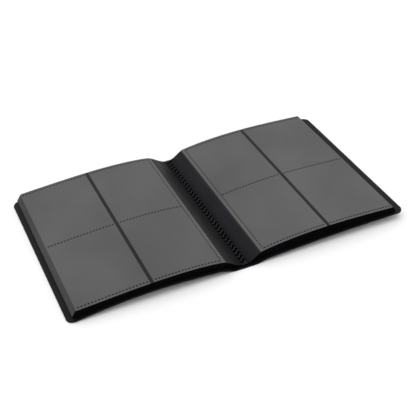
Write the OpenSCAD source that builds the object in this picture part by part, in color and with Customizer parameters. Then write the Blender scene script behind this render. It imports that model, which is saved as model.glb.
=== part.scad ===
// Card album lying open: a black flexible cover, a narrow bound spine and two stacks of
// pocket leaves. Each leaf is a black backing sheet with two columns of clear film on both
// faces, and each column is divided into two pockets by the weld across its middle.
// X runs across the open album, Y along the spine and Z up. The origin is on the table,
// under the middle of the spine. Side 0 is the front cover's side, at -X, and side 1 the back's.

/* [Album] */
// leaves in the album, half of them on each side; whole number
leaf_count = 20; // [4:2:20]
// height of a leaf along the spine
page_h = 196; // [150:1:300]
// height of the cover along the spine
cover_h = 200; // [154:1:306]
// distance from the spine's middle to the cover's outer edge
cover_reach = 169.5; // [166:0.5:185]
// radius of the cover's outer corners
cover_corner_r = 7; // [2:0.5:12]
// thickness of the cover
cover_t = 1.2; // [0.8:0.1:3]

/* [Spine] */
// half width of the flat spine panel
spine_half = 9; // [6:0.5:14]
// distance from the spine's middle to the line that a cover swings about
crease_x = 10; // [7:0.5:15]
// thickness of the thin sheet in the crease
crease_t = 0.6; // [0.3:0.1:1]
// half width of the welded binding strip
strip_half = 3.4; // [2.5:0.1:6]
// height of the binding strip's top above the table
strip_top = 3.3; // [2.6:0.1:6]
// spacing of the weld cells along the binding strip
cell_pitch = 5.8; // [4:0.1:8]
// radius of a weld cell
cell_r = 1.9; // [1:0.1:2.4]
// depth of a weld cell
cell_depth = 0.3; // [0.1:0.05:0.6]

/* [Leaves] */
// width of one column of pockets
film_w = 69; // [60:0.5:80]
// bare strip between the two columns, where cards slide in
column_gap = 3.4; // [2:0.1:6]
// thickness of the black backing sheet
backing_t = 0.16; // [0.1:0.01:0.3]
// thickness of a film
film_t = 0.07; // [0.05:0.01:0.12]
// free height inside an empty pocket
pocket_gap = 0.05; // [0.02:0.01:0.1]
// width of the weld that closes a pocket
weld_w = 0.8; // [0.5:0.1:2]
// distance from a film's edge to its weld
weld_inset = 3.4; // [2:0.1:6]
// thickness of the flexible margin between a leaf and the spine
margin_t = 0.1; // [0.06:0.01:0.16]
// how much farther out each lower leaf lies
stagger = 0.45; // [0:0.05:0.8]

/* [Resting shape] */
// distance from the spine's middle to the pockets, front side and back side
inset = [19, 16.5]; // [14:0.5:24]
// height of the top leaf where its pockets start
crest_z = [12.1, 11.5]; // [9:0.1:16]
// height of the top leaf at its outer edge
edge_z = [10.9, 14.9]; // [9:0.1:18]
// how far the top leaf arches above the line between those two
page_rise = [4.2, 4.3]; // [0:0.1:8]
// under 1 moves the top of the arch towards the spine
page_lean = [0.7, 0.8]; // [0.5:0.05:1]
// spacing of the leaves next to the spine
pitch_in = 0.46; // [0.42:0.01:0.8]
// spacing of the leaves across the middle of their width
pitch_mid = [0.62, 0.9]; // [0.5:0.01:1.2]
// spacing of the leaves at their outer edges
pitch_edge = [0.62, 0.6]; // [0.5:0.01:1.2]
// distance from the spine's middle to the cover's second crease
ridge_x = 24; // [18:0.5:30]
// height of the cover's underside at the second crease
ridge_z = [4.2, 2.9]; // [1:0.1:6]
// height of the underside at the cover's outer edge, which lifts off the table on the back's side
cover_edge_z = [0, 7]; // [0:0.1:9]
// how far the cover arches between that crease and its outer edge
cover_rise = [4.9, 1.2]; // [0:0.1:8]

/* [Hidden] */
per_side = leaf_count / 2;
leaf_t = backing_t + 2 * (pocket_gap + film_t);
page_w = 2 * film_w + column_gap;
inner_lip = 1.5;
spread_length = 35;
gather_length = 60;
column_steps = 4;
board_steps = 14;
corner_steps = 8;
// the welds along the tail, the middle and the head of a column
cross_welds = [for (i = [-1:1]) i * (page_h / 2 - weld_inset)];
sheet_pitch = (strip_top - cover_t) / per_side;
clearance = 0.05;
cell_count = 2 * floor((page_h / 2 - cell_r) / cell_pitch) + 1;
cover_black = [0.035, 0.035, 0.038];
backing_black = [0.05, 0.05, 0.055];
film_grey = [0.36, 0.36, 0.38];

function two_digits(n) = n < 10 ? str("0", n) : str(n);
function leaf_name(n, piece) = str("leaf_", two_digits(n), "_", piece);
function side_of(n) = n <= per_side ? 0 : 1;
// a leaf's place in its stack, 1 at the bottom and per_side on top
function rank(n) = n <= per_side ? n : leaf_count + 1 - n;
function outward(s) = s == 0 ? -1 : 1;
function steps(from, to, n) = [for (i = [0:n]) from + (to - from) * i / n];
function clamp(u) = max(0, min(1, u));

// height of the top face of a stack at distance x from the spine's middle
function page_top(s, x) =
    let (u = (x - inset[s]) / page_w)
    u < 0
        ? strip_top + (crest_z[s] - strip_top) * (x - strip_half) / (inset[s] - strip_half)
        : crest_z[s] + (edge_z[s] - crest_z[s]) * u
            + page_rise[s] * sin(180 * pow(clamp(u), page_lean[s]));
// the leaves spread apart on their way out from the spine, then gather again towards their edges
function leaf_pitch(s, x) =
    let (edge = inset[s] + page_w)
    pitch_in
        + (pitch_mid[s] - pitch_in) * clamp((x - inset[s]) / spread_length)
        + (pitch_edge[s] - pitch_mid[s]) * clamp((x - edge + gather_length) / gather_length);
function leaf_z(n, x) =
    let (s = side_of(n))
    page_top(s, x) - leaf_t / 2 - (per_side - rank(n)) * leaf_pitch(s, x);
// height of the cover's underside
function cover_z(s, x) =
    let (v = (x - ridge_x) / (cover_reach - ridge_x))
    x < ridge_x
        ? ridge_z[s] * (x - crease_x) / (ridge_x - crease_x)
        : ridge_z[s] * (1 - v) + cover_edge_z[s] * v + cover_rise[s] * sin(180 * v);

function slip(n) = (per_side - rank(n)) * stagger;
function column_start(n, column) =
    inset[side_of(n)] + column * (film_w + column_gap) + (column == 1 ? slip(n) / 2 : 0);
function column_end(n, column) = column_start(n, column) + film_w + (column == 1 ? slip(n) / 2 : 0);
// where the long weld of a column starts: beside the spine, or at the leaf's outer edge
function weld_x(n, column) =
    column == 0 ? column_start(n, 0) + weld_inset : column_end(n, 1) - weld_w;
function column_stations(n, column) =
    column == 0
        ? concat(
            [column_start(n, 0), weld_x(n, 0)],
            steps(weld_x(n, 0) + weld_w, column_end(n, 0), column_steps)
        )
        : concat(
            steps(column_start(n, 1), weld_x(n, 1), column_steps),
            [column_end(n, 1)]
        );
function leaf_stations(n) = concat(
    [inset[side_of(n)] - inner_lip],
    column_stations(n, 0),
    column_stations(n, 1)
);

// a sheet whose lower and upper faces follow two lists of [x, z] points, extruded along the spine
module sheet(s, lower, upper, length) {
    outline = concat(lower, [for (i = [len(upper) - 1:-1:0]) upper[i]]);
    rotate([90, 0, 0])
        linear_extrude(length, center = true)
            polygon([for (p = outline) [outward(s) * p[0], p[1]]]);
}

function leaf_line(n, stations, lift) = [for (x = stations) [x, leaf_z(n, x) + lift]];

module leaf_backing(n) {
    color(backing_black)
        sheet(
            side_of(n),
            leaf_line(n, leaf_stations(n), -backing_t / 2),
            leaf_line(n, leaf_stations(n), backing_t / 2),
            page_h
        );
}

// one film with the welds that close its pockets; face is 1 on top of the leaf and -1 below it
module film(n, column, face) {
    s = side_of(n);
    stations = column_stations(n, column);
    long_weld = [weld_x(n, column), weld_x(n, column) + weld_w];
    near = face * backing_t / 2;
    under = face * (backing_t / 2 + pocket_gap);
    over = face * (backing_t / 2 + pocket_gap + film_t);
    sheet(s, leaf_line(n, stations, under), leaf_line(n, stations, over), page_h);
    sheet(s, leaf_line(n, long_weld, near), leaf_line(n, long_weld, under), page_h);
    for (y = cross_welds)
        translate([0, y, 0])
            sheet(s, leaf_line(n, stations, near), leaf_line(n, stations, under), weld_w);
}

module leaf_films(n) {
    color(film_grey)
        for (column = [0, 1], face = [-1, 1])
            film(n, column, face);
}

// the flexible strip of a backing sheet between the binding strip and the leaf
module margin(n) {
    s = side_of(n);
    ends = [strip_half + clearance, inset[s] - inner_lip - clearance];
    heights = [cover_t + (rank(n) - 0.5) * sheet_pitch, leaf_z(n, ends[1])];
    color(backing_black)
        sheet(
            s,
            [for (i = [0, 1]) [ends[i], heights[i] - margin_t / 2]],
            [for (i = [0, 1]) [ends[i], heights[i] + margin_t / 2]],
            page_h
        );
}

module cover_sheet(s, from, to, n) {
    stations = steps(from, to, n);
    sheet(
        s,
        [for (x = stations) [x, cover_z(s, x)]],
        [for (x = stations) [x, cover_z(s, x) + cover_t]],
        cover_h
    );
}

// the plan of a cover board: square at the crease, rounded at its two outer corners
module board_plan(s) {
    centre = [cover_reach - cover_corner_r, cover_h / 2 - cover_corner_r];
    arc = [
        for (a = steps(0, 90, corner_steps))
            centre + cover_corner_r * [cos(a), sin(a)]
    ];
    outline = concat(
        [[0, -cover_h / 2]],
        [for (i = [corner_steps:-1:0]) [arc[i][0], -arc[i][1]]],
        arc,
        [[0, cover_h / 2]]
    );
    linear_extrude(4 * (ridge_z[s] + cover_edge_z[s] + cover_rise[s]), center = true)
        polygon([for (p = outline) [outward(s) * p[0], p[1]]]);
}

module board(s) {
    color(cover_black)
        intersection() {
            cover_sheet(s, ridge_x + clearance, cover_reach, board_steps);
            board_plan(s);
        }
}

module hinge_strip(s) {
    color(cover_black)
        cover_sheet(s, 2 * crease_x - spine_half, ridge_x, 1);
}

module crease(s) {
    ends = [spine_half + clearance, 2 * crease_x - spine_half - clearance];
    low = (cover_t - crease_t) / 2;
    color(cover_black)
        sheet(
            s,
            [for (x = ends) [x, low]],
            [for (x = ends) [x, low + crease_t]],
            cover_h
        );
}

module spine_panel() {
    color(cover_black)
        translate([-spine_half, -cover_h / 2, 0])
            cube([2 * spine_half, cover_h, cover_t]);
}

// the bound edges of all the leaves, pressed into one strip by a row of weld cells
module binding_strip() {
    color(backing_black)
        difference() {
            translate([-strip_half, -page_h / 2, cover_t])
                cube([2 * strip_half, page_h, strip_top - cover_t]);
            for (i = [0:cell_count - 1])
                translate([0, (i - (cell_count - 1) / 2) * cell_pitch, strip_top - cell_depth])
                    cylinder(r = cell_r, h = 2 * cell_depth, $fn = 12);
        }
}

spine_panel();
binding_strip();
crease(0);  // front_crease
crease(1);  // back_crease
hinge_strip(0);  // front_hinge_strip
board(0);  // front_board
hinge_strip(1);  // back_hinge_strip
board(1);  // back_board
for (n = [1:per_side - 2]) margin(n);  // front_margins
for (n = [per_side + 3:leaf_count]) margin(n);  // back_margins
for (n = [per_side - 1:per_side + 2])
    margin(n);
for (n = [1:leaf_count]) {
    leaf_backing(n);
    leaf_films(n);
}
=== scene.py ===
# The looks of the card album: every leaf, film, weld, margin and cover sheet is built here as a
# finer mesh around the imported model, and takes its place from that model's own corners.
import math

import bmesh
import bpy
import numpy as np
from mathutils import Matrix, Vector


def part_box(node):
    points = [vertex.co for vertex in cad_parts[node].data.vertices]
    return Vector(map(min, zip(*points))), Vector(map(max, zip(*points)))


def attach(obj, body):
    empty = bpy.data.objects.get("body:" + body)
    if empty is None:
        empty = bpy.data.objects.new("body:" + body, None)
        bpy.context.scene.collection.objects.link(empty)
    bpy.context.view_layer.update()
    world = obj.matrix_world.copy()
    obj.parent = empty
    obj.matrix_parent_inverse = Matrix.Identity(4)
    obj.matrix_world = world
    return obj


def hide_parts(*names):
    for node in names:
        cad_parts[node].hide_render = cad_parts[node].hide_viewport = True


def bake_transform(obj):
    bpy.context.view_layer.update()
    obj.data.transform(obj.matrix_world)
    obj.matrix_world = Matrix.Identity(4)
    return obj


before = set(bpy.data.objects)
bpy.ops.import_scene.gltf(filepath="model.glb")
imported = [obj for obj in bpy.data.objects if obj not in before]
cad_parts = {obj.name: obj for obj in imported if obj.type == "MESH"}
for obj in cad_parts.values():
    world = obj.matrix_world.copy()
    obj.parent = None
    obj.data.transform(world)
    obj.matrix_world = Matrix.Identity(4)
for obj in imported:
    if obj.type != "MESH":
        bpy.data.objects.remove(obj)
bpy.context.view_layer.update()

# Everything below is in metres, in the album's own frame.
MM = 0.001
LEAVES = 20
PER_SIDE = LEAVES // 2
FIRST_TURNING, LAST_TURNING = PER_SIDE - 1, PER_SIDE + 2
FILM_W = 69 * MM
COLUMN_GAP = 3.4 * MM
WELD_INSET = 3.4 * MM
POCKET_GAP = 0.05 * MM
FILM_T = 0.07 * MM
LEAF_CORNER = 1.2 * MM
COVER_CORNER = 7 * MM


# ---------------------------------------------------------------- camera
CAMERA_AZIMUTH = math.radians(-22.48)
CAMERA_ELEVATION = math.radians(35.93)
CAMERA_ROLL = math.radians(-2.89)
CAMERA_DISTANCE = 0.9368
CAMERA_TARGET = Vector((0.02195, 0.00153, -0.0048))
CAMERA_SENSOR = 36
CAMERA_LENS = 80.3
CAMERA_SHIFT_X = -0.036


def make_camera():
    """A camera at the photograph's angle, with its small roll."""
    az, el, roll = CAMERA_AZIMUTH, CAMERA_ELEVATION, CAMERA_ROLL
    back = Vector((math.sin(az) * math.cos(el), -math.cos(az) * math.cos(el), math.sin(el)))
    level = Vector((math.cos(az), math.sin(az), 0))
    upright = back.cross(level)
    right = math.cos(roll) * level + math.sin(roll) * upright
    up = math.cos(roll) * upright - math.sin(roll) * level
    data = bpy.data.cameras.new("camera")
    data.lens = CAMERA_LENS
    data.sensor_width = CAMERA_SENSOR
    data.shift_x = CAMERA_SHIFT_X
    camera = bpy.data.objects.new("camera", data)
    turn = Matrix((right, up, back)).transposed().to_4x4()
    camera.matrix_world = Matrix.Translation(CAMERA_TARGET + CAMERA_DISTANCE * back) @ turn
    bpy.context.scene.collection.objects.link(camera)
    bpy.context.scene.camera = camera


# ---------------------------------------------------------------- materials
# the values between which nearly all of a noise pattern lies
NOISE_LOW, NOISE_HIGH = 0.3, 0.7
# cells per metre of the patches of tone and of gloss on the black plastics
PATCH_SCALE, GLOSS_SCALE = 28, 60
GLOSS_SPREAD = 0.02
GRAIN_STRENGTH = 0.35


def new_material(name, roughness, specular):
    """A node material; returns it with its node tree, its shader and a function that adds nodes."""
    material = bpy.data.materials.new(name)
    material.use_nodes = True
    tree = material.node_tree
    shader = tree.nodes["Principled BSDF"]
    shader.inputs["Roughness"].default_value = roughness
    shader.inputs["Specular IOR Level"].default_value = specular

    def add(kind, **values):
        node = tree.nodes.new(kind)
        for key, value in values.items():
            if key in node.inputs:
                node.inputs[key].default_value = value
            else:
                setattr(node, key, value)
        return node

    return material, tree, shader, add


def noise(tree, add, scale, detail=3.0, stretch=(1, 1, 1)):
    """A noise pattern in the object's own coordinates, with the given cells per metre."""
    place = add("ShaderNodeTexCoord")
    mapping = add("ShaderNodeMapping", Scale=stretch)
    pattern = add("ShaderNodeTexNoise", Scale=scale, Detail=detail)
    tree.links.new(place.outputs["Object"], mapping.inputs["Vector"])
    tree.links.new(mapping.outputs["Vector"], pattern.inputs["Vector"])
    return pattern.outputs["Fac"]


def ramp(tree, add, value, low, high):
    """A colour that goes from low to high over the middle of a noise pattern's values."""
    node = add("ShaderNodeValToRGB")
    node.color_ramp.elements[0].position = NOISE_LOW
    node.color_ramp.elements[0].color = (*low, 1)
    node.color_ramp.elements[1].position = NOISE_HIGH
    node.color_ramp.elements[1].color = (*high, 1)
    tree.links.new(value, node.inputs["Fac"])
    return node.outputs["Color"]


def spread(tree, add, value, low, high, start=NOISE_LOW, end=NOISE_HIGH):
    """A number that goes from low to high as value goes from start to end."""
    names = ("From Min", "From Max", "To Min", "To Max")
    node = add("ShaderNodeMapRange", **dict(zip(names, (start, end, low, high))))
    tree.links.new(value, node.inputs["Value"])
    return node.outputs["Result"]


def bump(tree, add, shader, height, strength, distance):
    node = add("ShaderNodeBump", Strength=strength, Distance=distance)
    tree.links.new(height, node.inputs["Height"])
    tree.links.new(node.outputs["Normal"], shader.inputs["Normal"])


def plastic(name, low, high, roughness, specular, grain, grain_depth):
    """Moulded or rolled plastic: soft patches of tone, uneven gloss and a fine grain."""
    material, tree, shader, add = new_material(name, roughness, specular)
    patches = noise(tree, add, PATCH_SCALE, detail=4)
    tree.links.new(ramp(tree, add, patches, low, high), shader.inputs["Base Color"])
    pattern = noise(tree, add, GLOSS_SCALE)
    gloss = spread(tree, add, pattern, roughness - GLOSS_SPREAD, roughness + GLOSS_SPREAD)
    tree.links.new(gloss, shader.inputs["Roughness"])
    bump(tree, add, shader, noise(tree, add, grain, detail=2), GRAIN_STRENGTH, grain_depth)
    return material


def frosted_film(name, low, high):
    """Frosted film over a black sheet: cloudy grey, with a soft uneven gloss."""
    material, tree, shader, add = new_material(name, 0.45, 0.2)
    cloud = ramp(tree, add, noise(tree, add, 16, detail=5, stretch=(1, 0.7, 1)), low, high)
    tree.links.new(cloud, shader.inputs["Base Color"])
    gloss = spread(tree, add, noise(tree, add, 22, detail=4), 0.4, 0.52)
    tree.links.new(gloss, shader.inputs["Roughness"])
    bump(tree, add, shader, noise(tree, add, 900, detail=2), 0.25, 0.05 * MM)
    return material


def margin_plastic(name, shade_tone, low, high, start, end):
    """Black sheet with painted shade, darkest in the crease beside the binding strip: the painted
    shade tone as far from the spine's middle as start, and low to high from end on."""
    material, tree, shader, add = new_material(name, 0.5, 0.08)
    place = add("ShaderNodeTexCoord")
    split = add("ShaderNodeSeparateXYZ")
    distance = add("ShaderNodeMath", operation="ABSOLUTE")
    tree.links.new(place.outputs["Object"], split.inputs["Vector"])
    tree.links.new(split.outputs["X"], distance.inputs[0])
    # painted shade beside the binding strip, fading out between start and end
    out = spread(tree, add, distance.outputs["Value"], 0.0, 1.0, start, end)
    mix = add("ShaderNodeMix", data_type="RGBA")
    colours = [s for s in mix.inputs if s.type == "RGBA"]
    colours[0].default_value = (*shade_tone, 1)
    patches = noise(tree, add, PATCH_SCALE, detail=4)
    tree.links.new(ramp(tree, add, patches, low, high), colours[1])
    tree.links.new(out, mix.inputs["Factor"])
    result = [s for s in mix.outputs if s.type == "RGBA"][0]
    tree.links.new(result, shader.inputs["Base Color"])
    bump(tree, add, shader, noise(tree, add, 1200, detail=2), GRAIN_STRENGTH, 0.05 * MM)
    return material


# name, darkest and lightest tone, roughness, specular level, cells of grain per metre, depth of grain
COVER = plastic(
    "cover_plastic", (0.0036, 0.0036, 0.0048), (0.0050, 0.0050, 0.0064), 0.5, 0.12, 1600, 0.08 * MM
)
BACKING = plastic(
    "backing_sheet", (0.008, 0.008, 0.009), (0.012, 0.012, 0.013), 0.48, 0.14, 1200, 0.04 * MM
)
# near-black cut edges and a rim of the faces beside them: partly the sheets' own black, partly painted
# shade
EDGE_AND_SHADE = plastic(
    "cut_edge_and_painted_shade", (0.0015, 0.0015, 0.002), (0.003, 0.003, 0.004), 0.7, 0.03, 900, 0.02 * MM
)
BINDING = plastic(
    "welded_strip", (0.0015, 0.0015, 0.0025), (0.003, 0.003, 0.0043), 0.5, 0.03, 900, 0.05 * MM
)
# near-black and without gloss: painted shade in the deep part of the weld cells
CELL_SHADE = plastic(
    "cell_painted_shade", (0.0001, 0.0001, 0.0002), (0.0002, 0.0002, 0.0003), 0.8, 0.0, 900, 0.01 * MM
)
RIB = plastic(
    "weld_rib", (0.006, 0.006, 0.0078), (0.010, 0.010, 0.0125), 0.5, 0.08, 900, 0.03 * MM
)
WELD = plastic(
    "weld_mark", (0.001, 0.001, 0.001), (0.003, 0.003, 0.003), 0.5, 0.04, 900, 0.03 * MM
)
FILM = frosted_film("frosted_film", (0.070, 0.070, 0.071), (0.092, 0.092, 0.093))
SEAM = frosted_film("film_seam", (0.074, 0.074, 0.075), (0.094, 0.094, 0.095))
# the painted shade of the margins in the crease beside the binding strip
MARGIN_SHADE_TONE = (0.0008, 0.0008, 0.0017)
# one black margin sheet in two copies: painted lighter on the front half as painted light, darker and
# bluer on the back half as painted shade; the painted shade beside the strip reaches further on the
# front half
FRONT_MARGIN_LIT = margin_plastic(
    "front_margin_lit_sheet", MARGIN_SHADE_TONE,
    (0.015, 0.015, 0.0145), (0.021, 0.021, 0.020), 4.5 * MM, 15.5 * MM,
)
BACK_MARGIN_SHADED = margin_plastic(
    "back_margin_shaded_sheet", MARGIN_SHADE_TONE,
    (0.0078, 0.0073, 0.0105), (0.0115, 0.0108, 0.0148), 3 * MM, 9 * MM,
)


# ---------------------------------------------------------------- mesh helpers
SHARP_ANGLE = math.radians(35)
ARC_STEP = 10


def stations(node):
    """The [distance from the spine, middle height] points of a CAD sheet, from the spine outwards."""
    heights = {}
    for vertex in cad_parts[node].data.vertices:
        heights.setdefault(round(abs(vertex.co.x), 7), []).append(vertex.co.z)
    return np.array([(x, (min(z) + max(z)) / 2) for x, z in sorted(heights.items())])


def hermite(t, span, height_a, slope_a, height_b, slope_b):
    """The height at share t of a span, on a cubic with these heights and slopes at its ends."""
    return (
        (2 * t**3 - 3 * t**2 + 1) * height_a
        + (t**3 - 2 * t**2 + t) * span * slope_a
        + (3 * t**2 - 2 * t**3) * height_b
        + (t**3 - t**2) * span * slope_b
    )


def smooth_curve(points):
    """A cubic through the points, as a function of the distance from the spine."""
    xs, zs = points[:, 0], points[:, 1]
    slopes = np.gradient(zs, xs)

    def height(x):
        i = int(np.clip(np.searchsorted(xs, x) - 1, 0, len(xs) - 2))
        span = xs[i + 1] - xs[i]
        t = (x - xs[i]) / span
        return float(hermite(t, span, zs[i], slopes[i], zs[i + 1], slopes[i + 1]))

    return height


def rounded_half(half, reach, radius):
    """Half the length of a sheet at distance x, where its two outer corners are rounded."""

    def length(x):
        past = max(0.0, x - (reach - radius))
        return half - radius + math.sqrt(max(0.0, radius**2 - past**2))

    return length


def outer_stations(start, reach, radius, count):
    """Even stations as far as the rounded corners, then closer ones round them."""
    turns = [math.radians(a) for a in range(0, 91, ARC_STEP)]
    arc = [reach - radius + radius * math.sin(a) for a in turns]
    return list(np.linspace(start, reach - radius, count))[:-1] + arc


def ribbon(bm, sign, xs, low, high, half, middle=0.0, material=0, edge=None, rim=0.0):
    """A thin closed strip across the album, in the stations xs: low and high give the heights of its
    faces there, and half gives half its length along the spine. Its cut edges, and a rim of the faces
    beside them, take the edge material: partly the sheets' own black, partly painted shade."""
    edge = material if edge is None else edge
    rings = []
    for x in xs:
        h = half(x) if callable(half) else half
        ys = (-h, -h + rim, h - rim, h) if rim else (-h, h)
        section = [(y, low(x)) for y in ys] + [(y, high(x)) for y in reversed(ys)]
        rings.append([bm.verts.new((sign * x, middle + y, z)) for y, z in section])
    count = len(rings[0])
    flats = (1, 5) if rim else (0, 2)
    for near, far in zip(rings, rings[1:]):
        for i in range(count):
            j = (i + 1) % count
            face = bm.faces.new((near[i], near[j], far[j], far[i]))
            face.material_index = material if i in flats else edge
    bm.faces.new(rings[0][::-1]).material_index = edge
    bm.faces.new(rings[-1]).material_index = edge


def piece(name, bm, materials):
    """A finished object from the mesh, smooth except over its sharp edges."""
    bmesh.ops.recalc_face_normals(bm, faces=bm.faces[:])
    mesh = bpy.data.meshes.new(name)
    bm.to_mesh(mesh)
    bm.free()
    mesh.shade_smooth()
    mesh.set_sharp_from_angle(angle=SHARP_ANGLE)
    for material in materials:
        mesh.materials.append(material)
    obj = bpy.data.objects.new(name, mesh)
    bpy.context.scene.collection.objects.link(obj)
    return obj


def lifted(curve, rise):
    """The same curve, higher by rise."""
    return lambda x: curve(x) + rise


# ---------------------------------------------------------------- leaves
DASH_PITCH, DASH_LENGTH, DASH_WIDTH = 3.2 * MM, 1.8 * MM, 1.5 * MM
DOT_PITCH, DOT_LENGTH, DOT_WIDTH = 3.2 * MM, 1.5 * MM, 1.2 * MM
WELD_RISE = 0.02 * MM
DASH_END_GAP = 0.5 * MM
# how far in from the cut edges the painted shade reaches, on the two top leaves and on the leaves under
# them
TOP_LEAF_SHADE_RIM, INNER_LEAF_SHADE_RIM = 0.15 * MM, 0.7 * MM
BACKING_STATIONS, FILM_STATIONS, SEAM_STATIONS = 44, 22, 4
# material slots of a backing and of a leaf's films
BACKING_EDGE_SHADE_SLOT = 1
SEAM_SLOT, WELD_SLOT, FILM_EDGE_SHADE_SLOT = 1, 2, 3


def leaf_name(n, part):
    """The CAD node of a leaf's part."""
    return f"leaf_{n:02d}_{part}"


def side(n):
    """-1 for a leaf on the front cover's half, 1 for one on the back cover's."""
    return -1 if n <= PER_SIDE else 1


def edge_shade_rim(n):
    """How far the painted shade along a leaf's cut edge reaches in: hardly at all on the two top
    leaves, further on the leaves under them.
    """
    return TOP_LEAF_SHADE_RIM if n in (PER_SIDE, PER_SIDE + 1) else INNER_LEAF_SHADE_RIM


def leaf_backing(n, curve, thickness, half_page):
    """The black sheet in the middle of a leaf."""
    reach = stations(leaf_name(n, "backing"))[-1][0]
    start = stations(leaf_name(n, "backing"))[0][0]
    bm = bmesh.new()
    ribbon(
        bm, side(n), outer_stations(start, reach, LEAF_CORNER, BACKING_STATIONS),
        lifted(curve, -thickness / 2), lifted(curve, thickness / 2),
        rounded_half(half_page, reach, LEAF_CORNER), edge=BACKING_EDGE_SHADE_SLOT, rim=edge_shade_rim(n),
    )
    obj = piece(f"leaf_{n:02d}_sheet", bm, [BACKING, EDGE_AND_SHADE])
    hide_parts(leaf_name(n, "backing"))
    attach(obj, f"leaf_{n:02d}")


def weld_row(bm, n, curve, rise, start, end, y):
    """Dashes of the weld across a column, at one height of the leaf."""
    count = int((end - start) / DASH_PITCH)
    spare = (end - start - count * DASH_PITCH + DASH_PITCH - DASH_LENGTH) / 2
    for i in range(count):
        x = start + spare + i * DASH_PITCH
        ribbon(
            bm, side(n), (x, x + DASH_LENGTH),
            lifted(curve, rise - FILM_T / 2), lifted(curve, rise + WELD_RISE),
            DASH_WIDTH / 2, y, material=WELD_SLOT,
        )


def weld_column(bm, n, curve, rise, x, half_page):
    """Fine dots of the weld along the spine side of a column."""
    count = int(2 * (half_page - WELD_INSET) / DOT_PITCH)
    for i in range(count + 1):
        y = (i - count / 2) * DOT_PITCH
        ribbon(
            bm, side(n), (x - DOT_WIDTH / 2, x + DOT_WIDTH / 2),
            lifted(curve, rise - FILM_T / 2), lifted(curve, rise + WELD_RISE),
            DOT_LENGTH / 2, y, material=WELD_SLOT,
        )


def leaf_films(n, curve, thickness, half_page):
    """Both columns of film on both faces, with their dashed and dotted welds."""
    low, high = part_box(leaf_name(n, "films"))
    inner = min(abs(low.x), abs(high.x))
    reach = max(abs(low.x), abs(high.x))
    bm = bmesh.new()
    for start, end in ((inner, inner + FILM_W), (reach - FILM_W, reach)):
        closed_here = start == inner
        seam = start + WELD_INSET if closed_here else start
        rounded = rounded_half(half_page, reach, LEAF_CORNER)
        body = outer_stations(seam, end, LEAF_CORNER, FILM_STATIONS)
        rim = {"edge": FILM_EDGE_SHADE_SLOT, "rim": edge_shade_rim(n)}
        for face in (-1, 1):
            near = face * (thickness / 2 + POCKET_GAP)
            far = near + face * FILM_T
            rows = (lifted(curve, min(near, far)), lifted(curve, max(near, far)))
            ribbon(bm, side(n), body, *rows, rounded, **rim)
            if closed_here:
                strip = np.linspace(start, seam, SEAM_STATIONS)
                ribbon(bm, side(n), strip, *rows, rounded, material=SEAM_SLOT, **rim)
                weld_column(bm, n, curve, face_rise(face, far), seam, half_page)
            for y in (-half_page + WELD_INSET, 0.0, half_page - WELD_INSET):
                weld_row(bm, n, curve, face_rise(face, far), seam, end - DASH_END_GAP, y)
    obj = piece(f"leaf_{n:02d}_pockets", bm, [FILM, SEAM, WELD, EDGE_AND_SHADE])
    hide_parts(leaf_name(n, "films"))
    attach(obj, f"leaf_{n:02d}")


def face_rise(face, far):
    """Where a weld's mark sits, so that it stands just proud of the film on either face."""
    return far if face > 0 else far - WELD_RISE + FILM_T / 2


def make_leaf(n):
    """The backing and the films of a leaf, on the smooth arch through its CAD sheet."""
    curve = smooth_curve(stations(leaf_name(n, "backing")))
    half_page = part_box(leaf_name(n, "backing"))[1].y
    points = [v.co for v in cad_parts[leaf_name(n, "backing")].data.vertices]
    nearest = min(abs(p.x) for p in points)
    edge = [p.z for p in points if abs(p.x) < nearest + 1e-6]
    thickness = max(edge) - min(edge)
    leaf_backing(n, curve, thickness, half_page)
    leaf_films(n, curve, thickness, half_page)


# ---------------------------------------------------------------- margins
# how steeply the top margin leaves the strip, as a share of its mean slope, and how much more the
# one under it does
TOP_SAG, SAG_STEP = 0.35, 0.1
MARGIN_T = 0.1 * MM
# how far in from the margins' cut edges the painted shade reaches
MARGIN_SHADE_RIM = 0.3 * MM
MARGIN_STATIONS = 20
MARGIN_EDGE_SHADE_SLOT = 1


def margin_node(n):
    """The CAD node that holds a leaf's margin."""
    if FIRST_TURNING <= n <= LAST_TURNING:
        return leaf_name(n, "margin")
    return "front_margins" if n <= PER_SIDE else "back_margins"


def make_margin(n):
    """The flexible strip from the binding strip to a leaf, bending between their two bodies."""
    s = side(n)
    rank = n if n <= PER_SIDE else LEAVES + 1 - n
    strip_low, strip_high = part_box("binding_strip")
    sheet_pitch = (strip_high.z - strip_low.z) / PER_SIDE
    start = Vector((strip_high.x, 0, strip_low.z + (rank - 0.5) * sheet_pitch))
    leaf = stations(leaf_name(n, "backing"))
    end = Vector((leaf[0][0], 0, leaf[0][1]))
    leaf_slope = (leaf[1][1] - leaf[0][1]) / (leaf[1][0] - leaf[0][0])
    length = end.x - start.x
    chord = (end.z - start.z) / length

    def height(x):
        # leaves the strip lying nearly flat, less so lower down, then rises in line with the leaf
        t = min(1.0, max(0.0, (x - start.x) / length))
        flat = (TOP_SAG + SAG_STEP * (PER_SIDE - rank)) * chord
        return hermite(t, length, start.z, flat, end.z, leaf_slope)

    bm = bmesh.new()
    ribbon(
        bm, s, np.linspace(start.x, end.x, MARGIN_STATIONS),
        lifted(height, -MARGIN_T / 2), lifted(height, MARGIN_T / 2),
        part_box(leaf_name(n, "backing"))[1].y, edge=MARGIN_EDGE_SHADE_SLOT, rim=MARGIN_SHADE_RIM,
    )
    # the copy with painted light on the front half, the copy with painted shade on the back half
    sheet = FRONT_MARGIN_LIT if s < 0 else BACK_MARGIN_SHADED
    obj = piece(f"leaf_{n:02d}_margin_sheet", bm, [sheet, EDGE_AND_SHADE])
    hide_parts(margin_node(n))
    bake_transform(obj)


# ---------------------------------------------------------------- binding strip
CELL_PITCH = 5.8 * MM
CELL_DEPTH = 0.6 * MM
CELL_WALL = 0.6 * MM
CELLS_EACH_WAY = 16
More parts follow.
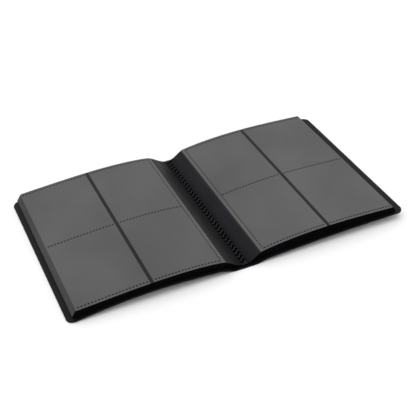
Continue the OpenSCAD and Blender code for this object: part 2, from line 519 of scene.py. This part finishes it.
# each cell is a slanted hook: the ends of its strokes in mm, and the radius of each stroke at both ends
CELL_STROKES = (
    ((-1.3, -2.1), (0.7, 0.3), 1.1, 0.95),
    ((0.7, 0.3), (1.8, 1.8), 0.95, 1.6),
    ((-1.3, -2.1), (-2.1, 0.3), 1.1, 0.95),
)
RIB_REACH = 2.7 * MM
# how deep in a cell, as a share of its depth, the painted shade begins
CELL_SHADE_SHARE = 0.45
BINDING_COLUMNS, BINDING_ROWS = 37, 981
STRIP_SLOT, CELL_SHADE_SLOT, RIB_SLOT = 0, 1, 2


def stroke_depth(x, y, start, end, near, far):
    """1 well inside a stroke of a cell, 0 outside it."""
    run = (end[0] - start[0], end[1] - start[1])
    share = ((x - start[0]) * run[0] + (y - start[1]) * run[1]) / (run[0] ** 2 + run[1] ** 2)
    share = min(1.0, max(0.0, share))
    away = math.hypot(x - start[0] - share * run[0], y - start[1] - share * run[1])
    radius = near + (far - near) * share
    return min(1.0, max(0.0, (radius - away) * MM / CELL_WALL))


def cell_height(x, y):
    """How deep the press marked the strip here: a row of slanted, hooked cells."""
    nearest = round(y / CELL_PITCH)
    deepest = 0.0
    for cell in (nearest - 1, nearest, nearest + 1):
        if abs(cell) <= CELLS_EACH_WAY:
            along = (y - cell * CELL_PITCH) / MM
            deepest = max([deepest] + [stroke_depth(x / MM, along, *s) for s in CELL_STROKES])
    return -CELL_DEPTH * deepest


def make_binding():
    """The pressed strip that holds the leaves, with its row of weld cells."""
    low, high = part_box("binding_strip")
    columns = np.linspace(low.x, high.x, BINDING_COLUMNS)
    rows = np.linspace(low.y, high.y, BINDING_ROWS)
    bm = bmesh.new()
    top = [[bm.verts.new((x, y, high.z + cell_height(x, y))) for x in columns] for y in rows]
    for near, far in zip(top, top[1:]):
        for i in range(len(columns) - 1):
            face = bm.faces.new((near[i], near[i + 1], far[i + 1], far[i]))
            middle = face.calc_center_median()
            # the deep part of each cell takes painted shade
            if middle.z < high.z - CELL_SHADE_SHARE * CELL_DEPTH:
                face.material_index = CELL_SHADE_SLOT
            elif abs(middle.x) < RIB_REACH:
                face.material_index = RIB_SLOT
    rim = [e for e in bm.edges if e.is_boundary]
    walls = bmesh.ops.extrude_edge_only(bm, edges=rim)["geom"]
    for item in walls:
        if isinstance(item, bmesh.types.BMVert):
            item.co.z = low.z
        elif isinstance(item, bmesh.types.BMFace):
            item.material_index = STRIP_SLOT
    bmesh.ops.contextual_create(bm, geom=[e for e in bm.edges if e.is_boundary])
    obj = piece("binding_weld_strip", bm, [BINDING, CELL_SHADE, RIB])
    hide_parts("binding_strip")
    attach(obj, "spine")


# ---------------------------------------------------------------- cover
COVER_STATIONS, SPINE_STATIONS = 90, 12


def make_cover_half(name, s):
    """One half of the cover, from the spine's edge to its rounded corners, bending at its crease."""
    points = np.vstack([
        stations("spine_panel")[-1:],
        stations(f"{name}_hinge_strip"),
        stations(f"{name}_board")[1:],
    ])
    curve = smooth_curve(points)
    low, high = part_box("spine_panel")
    thickness = high.z - low.z
    reach = points[-1][0]
    bm = bmesh.new()
    ribbon(
        bm, s, outer_stations(high.x, reach, COVER_CORNER, COVER_STATIONS),
        lifted(curve, -thickness / 2), lifted(curve, thickness / 2),
        rounded_half(high.y, reach, COVER_CORNER),
    )
    obj = piece(f"{name}_cover_sheet", bm, [COVER])
    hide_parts(f"{name}_board", f"{name}_hinge_strip", f"{name}_crease")
    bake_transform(obj)


def make_spine():
    """The flat panel of the cover under the binding strip."""
    low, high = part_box("spine_panel")
    bm = bmesh.new()
    xs = np.linspace(low.x, high.x, SPINE_STATIONS)
    ribbon(bm, 1, xs, lambda x: low.z, lambda x: high.z, high.y)
    obj = piece("spine_cover_sheet", bm, [COVER])
    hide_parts("spine_panel")
    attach(obj, "spine")


# ---------------------------------------------------------------- floor and light
FLOOR_HALF = 4
FLOOR_WHITE = (0.93, 0.93, 0.93, 1)
SURROUND_WHITE = (1, 1, 1, 1)
SURROUND_STRENGTH = 0.95


def make_stage():
    """A plain white floor."""
    mesh = bpy.data.meshes.new("floor")
    corners = [(x * FLOOR_HALF, y * FLOOR_HALF, 0) for x, y in ((-1, -1), (1, -1), (1, 1), (-1, 1))]
    mesh.from_pydata(corners, [], [(0, 1, 2, 3)])
    floor = bpy.data.objects.new("floor", mesh)
    material, _, shader, _ = new_material("floor_white", 0.9, 0.1)
    shader.inputs["Base Color"].default_value = FLOOR_WHITE
    mesh.materials.append(material)
    bpy.context.scene.collection.objects.link(floor)


def area_light(name, place, size, power):
    """A square lamp that faces the album's middle; size in metres, power in watts."""
    data = bpy.data.lights.new(name, "AREA")
    data.size = size
    data.energy = power
    light = bpy.data.objects.new(name, data)
    light.location = place
    light.rotation_euler = (-Vector(place)).to_track_quat("-Z", "Y").to_euler()
    bpy.context.scene.collection.objects.link(light)


def make_light():
    """Soft studio light: an even pale surround and two large overhead panels."""
    world = bpy.data.worlds.new("studio")
    bpy.context.scene.world = world
    world.use_nodes = True
    background = world.node_tree.nodes["Background"]
    background.inputs["Color"].default_value = SURROUND_WHITE
    background.inputs["Strength"].default_value = SURROUND_STRENGTH
    area_light("key", (0.5, -0.1, 1.4), 1.4, 5)
    area_light("fill", (-0.6, 0.6, 1.3), 1.2, 2)
    bpy.context.scene.view_settings.view_transform = "Standard"


make_camera()
for number in range(1, LEAVES + 1):
    make_leaf(number)
    make_margin(number)
make_binding()
make_spine()
make_cover_half("front", -1)
make_cover_half("back", 1)
make_stage()
make_light()

bpy.context.view_layer.update()
